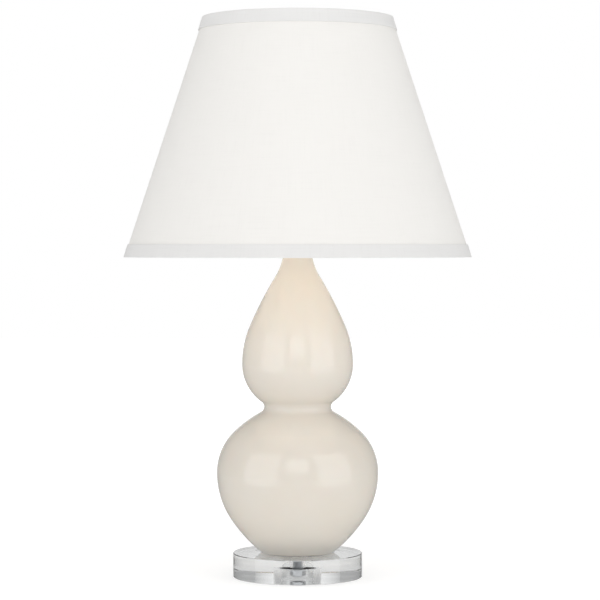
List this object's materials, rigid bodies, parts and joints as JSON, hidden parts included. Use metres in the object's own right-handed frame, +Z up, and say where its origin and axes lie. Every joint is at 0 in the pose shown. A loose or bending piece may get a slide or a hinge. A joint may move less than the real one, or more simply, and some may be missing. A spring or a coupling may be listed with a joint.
{
  "type": "table lamp",
  "caption": "Table lamp with a glazed double gourd body on a clear round base, and a white empire shade on a harp.",
  "frame": {"origin": "on the lamp's axis, at the level of the surface that the bumpers stand on", "axes": "+Z up along the lamp's axis, -Y towards the front where the switch knob points, +X to the right; the harp lies in the XZ plane"},
  "size_m": [0.3544, 0.3544, 0.5779],
  "materials": {
    "clear_acrylic": "polished",
    "cream_glaze": "gloss",
    "shade_fabric": "matte",
    "trim_fabric": "matte",
    "white_styrene": "matte",
    "satin_nickel": "satin",
    "zinc_steel": "satin",
    "brass": "satin",
    "aluminium": "satin",
    "black_phenolic": "matte",
    "black_glass": "gloss",
    "insulating_paper": "matte",
    "frosted_glass": "satin",
    "clear_glass": "gloss",
    "filament_wire": "satin",
    "soft_clear": "satin",
    "white_nylon": "satin"
  },
  "bodies": {
    "lamp": {"base_disc": "clear_acrylic", "base_bumpers": "soft_clear", "cord_bushing": "white_nylon", "foot_gasket": "soft_clear", "lamp_pipe": "zinc_steel", "base_washer": "zinc_steel", "lock_washer": "zinc_steel", "lock_nuts": "zinc_steel", "gourd_body": "cream_glaze", "neck_plug": "white_nylon", "vase_cap": "satin_nickel", "check_ring": "satin_nickel", "harp_saddle": "satin_nickel", "socket_cap": "satin_nickel", "socket_set_screw": "zinc_steel", "socket_shell": "satin_nickel", "socket_liner": "insulating_paper", "socket_core": "black_phenolic", "terminal_screws": "brass", "socket_screw_shell": "aluminium", "centre_contact": "brass"},
    "switch": {"switch_cam": "black_phenolic", "switch_spindle": "brass", "switch_knob": "black_phenolic"},
    "bulb_rise": {"bulb_tip_contact": "zinc_steel"},
    "bulb": {"bulb_glass": "frosted_glass", "bulb_cap": "aluminium", "bulb_insulator": "black_glass", "bulb_stem": "clear_glass", "bulb_filament": "filament_wire"},
    "harp": {"harp_bow": "satin_nickel", "harp_yoke": "satin_nickel"},
    "sleeve_left": {"harp_sleeve_left": "satin_nickel"},
    "sleeve_right": {"harp_sleeve_right": "satin_nickel"},
    "harp_stud": {"harp_stud": "satin_nickel"},
    "shade": {"spider_washer": "satin_nickel", "spider_arms": "satin_nickel", "shade_top_ring": "zinc_steel", "shade_bottom_ring": "zinc_steel", "shade_fabric": "shade_fabric", "shade_liner": "white_styrene", "shade_top_trim": "trim_fabric", "shade_bottom_trim": "trim_fabric"},
    "finial_rise": {"finial_insert": "brass"},
    "finial": {"finial_knob": "satin_nickel"}
  },
  "joints": [
    {"name": "switch_turn", "type": "hinge", "parent": "lamp", "child": "switch", "pos_m": [0, -0.02, 0.3727], "axis": [0, -1, 0], "continuous": true},
    {"name": "bulb_rise", "type": "slide", "parent": "lamp", "child": "bulb_rise", "axis": [0, 0, 1], "range_m": [0, 0.01815]},
    {"name": "bulb_turn", "type": "hinge", "parent": "bulb_rise", "child": "bulb", "pos_m": [0, 0, 0.4], "axis": [0, 0, 1], "range_deg": [0, 1800]},
    {"name": "harp_lift", "type": "slide", "parent": "lamp", "child": "harp", "axis": [0, 0, 1], "range_m": [0, 0.024]},
    {"name": "sleeve_left_lift", "type": "slide", "parent": "harp", "child": "sleeve_left", "axis": [0, 0, 1], "range_m": [0, 0.008]},
    {"name": "sleeve_right_lift", "type": "slide", "parent": "harp", "child": "sleeve_right", "axis": [0, 0, 1], "range_m": [0, 0.008]},
    {"name": "shade_swivel", "type": "hinge", "parent": "harp", "child": "harp_stud", "pos_m": [0, 0, 0.55], "axis": [0, 0, 1], "continuous": true},
    {"name": "shade_lift", "type": "slide", "parent": "harp_stud", "child": "shade", "axis": [0, 0, 1], "range_m": [0, 0.26]},
    {"name": "finial_rise", "type": "slide", "parent": "shade", "child": "finial_rise", "axis": [0, 0, 1], "range_m": [0, 0.01037]},
    {"name": "finial_turn", "type": "hinge", "parent": "finial_rise", "child": "finial", "pos_m": [0, 0, 0.56], "axis": [0, 0, 1], "range_deg": [0, 3960]}
  ],
  "couplings": [
    {"joint": "bulb_rise", "follows": "bulb_turn", "m_per_rad": 0.00057757},
    {"joint": "finial_rise", "follows": "finial_turn", "m_per_rad": 0.00014972}
  ]
}
